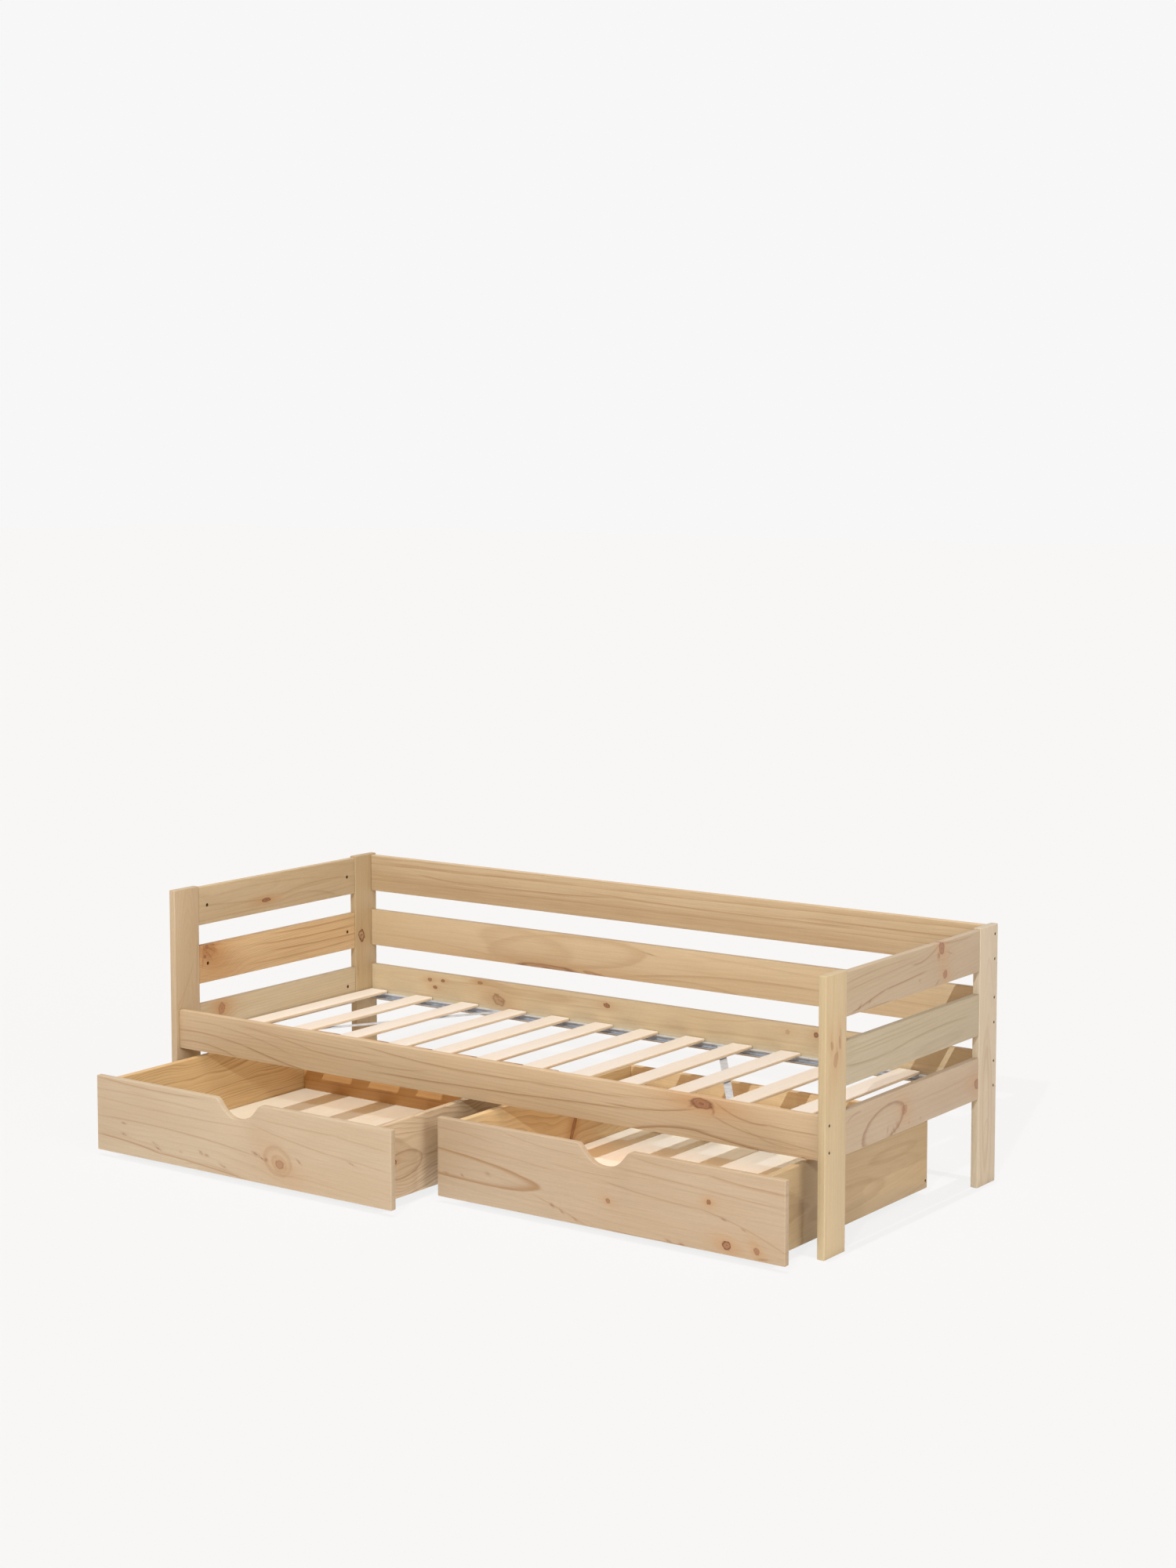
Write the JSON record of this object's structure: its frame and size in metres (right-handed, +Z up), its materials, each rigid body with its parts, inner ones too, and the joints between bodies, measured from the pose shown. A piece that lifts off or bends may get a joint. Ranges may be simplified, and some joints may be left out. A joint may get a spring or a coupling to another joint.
{
  "type": "storage daybed",
  "caption": "Pine daybed with open board ends and back, a slatted base and two drawers that roll out to the front on castors.",
  "frame": {"origin": "on the floor, under the middle of the whole piece with its drawers as they stand at rest", "axes": "+X along the bed, to the right as seen from the drawers; +Y towards the back; +Z up"},
  "size_m": [2.07, 1.158, 0.665],
  "materials": {
    "pine": "unpainted, planed smooth",
    "slat_pine": "unpainted, pale",
    "panel_pine": "unpainted, smooth",
    "zinc_steel": "zinc plated",
    "wheel_plastic": "matte"
  },
  "bodies": {
    "bed_frame": {"post_front_left": "pine", "post_front_right": "pine", "post_rear_left": "pine", "post_rear_right": "pine", "end_board_left_upper": "pine", "end_board_left_middle": "pine", "end_board_left_lower": "pine", "end_board_right_upper": "pine", "end_board_right_middle": "pine", "end_board_right_lower": "pine", "back_board_upper": "pine", "back_board_middle": "pine", "back_board_lower": "pine", "front_rail": "pine", "channel_front": "zinc_steel", "channel_rear": "zinc_steel", "brace_left": "zinc_steel", "brace_right": "zinc_steel", "slat_01": "slat_pine", "slat_02": "slat_pine", "slat_03": "slat_pine", "slat_04": "slat_pine", "slat_05": "slat_pine", "slat_06": "slat_pine", "slat_07": "slat_pine", "slat_08": "slat_pine", "slat_09": "slat_pine", "slat_10": "slat_pine", "slat_11": "slat_pine", "slat_12": "slat_pine", "slat_13": "slat_pine"},
    "drawer_left": {"drawer_left_front": "pine", "drawer_left_side_left": "pine", "drawer_left_side_right": "pine", "drawer_left_back": "pine", "drawer_left_floor": "panel_pine", "drawer_left_batten": "pine", "drawer_left_castor_front_left_bracket": "zinc_steel", "drawer_left_castor_front_right_bracket": "zinc_steel", "drawer_left_castor_rear_left_bracket": "zinc_steel", "drawer_left_castor_rear_right_bracket": "zinc_steel"},
    "drawer_left_castor_front_left": {"drawer_left_castor_front_left_wheel": "wheel_plastic"},
    "drawer_left_castor_front_right": {"drawer_left_castor_front_right_wheel": "wheel_plastic"},
    "drawer_left_castor_rear_left": {"drawer_left_castor_rear_left_wheel": "wheel_plastic"},
    "drawer_left_castor_rear_right": {"drawer_left_castor_rear_right_wheel": "wheel_plastic"},
    "drawer_right": {"drawer_right_front": "pine", "drawer_right_side_left": "pine", "drawer_right_side_right": "pine", "drawer_right_back": "pine", "drawer_right_floor": "panel_pine", "drawer_right_batten": "pine", "drawer_right_castor_front_left_bracket": "zinc_steel", "drawer_right_castor_front_right_bracket": "zinc_steel", "drawer_right_castor_rear_left_bracket": "zinc_steel", "drawer_right_castor_rear_right_bracket": "zinc_steel"},
    "drawer_right_castor_front_left": {"drawer_right_castor_front_left_wheel": "wheel_plastic"},
    "drawer_right_castor_front_right": {"drawer_right_castor_front_right_wheel": "wheel_plastic"},
    "drawer_right_castor_rear_left": {"drawer_right_castor_rear_left_wheel": "wheel_plastic"},
    "drawer_right_castor_rear_right": {"drawer_right_castor_rear_right_wheel": "wheel_plastic"}
  },
  "joints": [
    {"name": "drawer_left_slide", "type": "slide", "parent": "bed_frame", "child": "drawer_left", "axis": [0, -1, 0], "range_m": [-0.317, 0.333]},
    {"name": "drawer_left_castor_front_left_spin", "type": "hinge", "parent": "drawer_left", "child": "drawer_left_castor_front_left", "pos_m": [-0.8975, -0.4907, 0.017], "axis": [1, 0, 0], "continuous": true},
    {"name": "drawer_left_castor_front_right_spin", "type": "hinge", "parent": "drawer_left", "child": "drawer_left_castor_front_right", "pos_m": [-0.116, -0.4907, 0.017], "axis": [1, 0, 0], "continuous": true},
    {"name": "drawer_left_castor_rear_left_spin", "type": "hinge", "parent": "drawer_left", "child": "drawer_left_castor_rear_left", "pos_m": [-0.8975, 0.096, 0.017], "axis": [1, 0, 0], "continuous": true},
    {"name": "drawer_left_castor_rear_right_spin", "type": "hinge", "parent": "drawer_left", "child": "drawer_left_castor_rear_right", "pos_m": [-0.116, 0.096, 0.017], "axis": [1, 0, 0], "continuous": true},
    {"name": "drawer_right_slide", "type": "slide", "parent": "bed_frame", "child": "drawer_right", "axis": [0, -1, 0], "range_m": [-0.144, 0.506]},
    {"name": "drawer_right_castor_front_left_spin", "type": "hinge", "parent": "drawer_right", "child": "drawer_right_castor_front_left", "pos_m": [0.116, -0.3177, 0.017], "axis": [1, 0, 0], "continuous": true},
    {"name": "drawer_right_castor_front_right_spin", "type": "hinge", "parent": "drawer_right", "child": "drawer_right_castor_front_right", "pos_m": [0.8975, -0.3177, 0.017], "axis": [1, 0, 0], "continuous": true},
    {"name": "drawer_right_castor_rear_left_spin", "type": "hinge", "parent": "drawer_right", "child": "drawer_right_castor_rear_left", "pos_m": [0.116, 0.269, 0.017], "axis": [1, 0, 0], "continuous": true},
    {"name": "drawer_right_castor_rear_right_spin", "type": "hinge", "parent": "drawer_right", "child": "drawer_right_castor_rear_right", "pos_m": [0.8975, 0.269, 0.017], "axis": [1, 0, 0], "continuous": true}
  ],
  "couplings": [
    {"joint": "drawer_left_castor_front_left_spin", "follows": "drawer_left_slide", "rad_per_m": 58.824},
    {"joint": "drawer_left_castor_front_right_spin", "follows": "drawer_left_slide", "rad_per_m": 58.824},
    {"joint": "drawer_left_castor_rear_left_spin", "follows": "drawer_left_slide", "rad_per_m": 58.824},
    {"joint": "drawer_left_castor_rear_right_spin", "follows": "drawer_left_slide", "rad_per_m": 58.824},
    {"joint": "drawer_right_castor_front_left_spin", "follows": "drawer_right_slide", "rad_per_m": 58.824},
    {"joint": "drawer_right_castor_front_right_spin", "follows": "drawer_right_slide", "rad_per_m": 58.824},
    {"joint": "drawer_right_castor_rear_left_spin", "follows": "drawer_right_slide", "rad_per_m": 58.824},
    {"joint": "drawer_right_castor_rear_right_spin", "follows": "drawer_right_slide", "rad_per_m": 58.824}
  ]
}
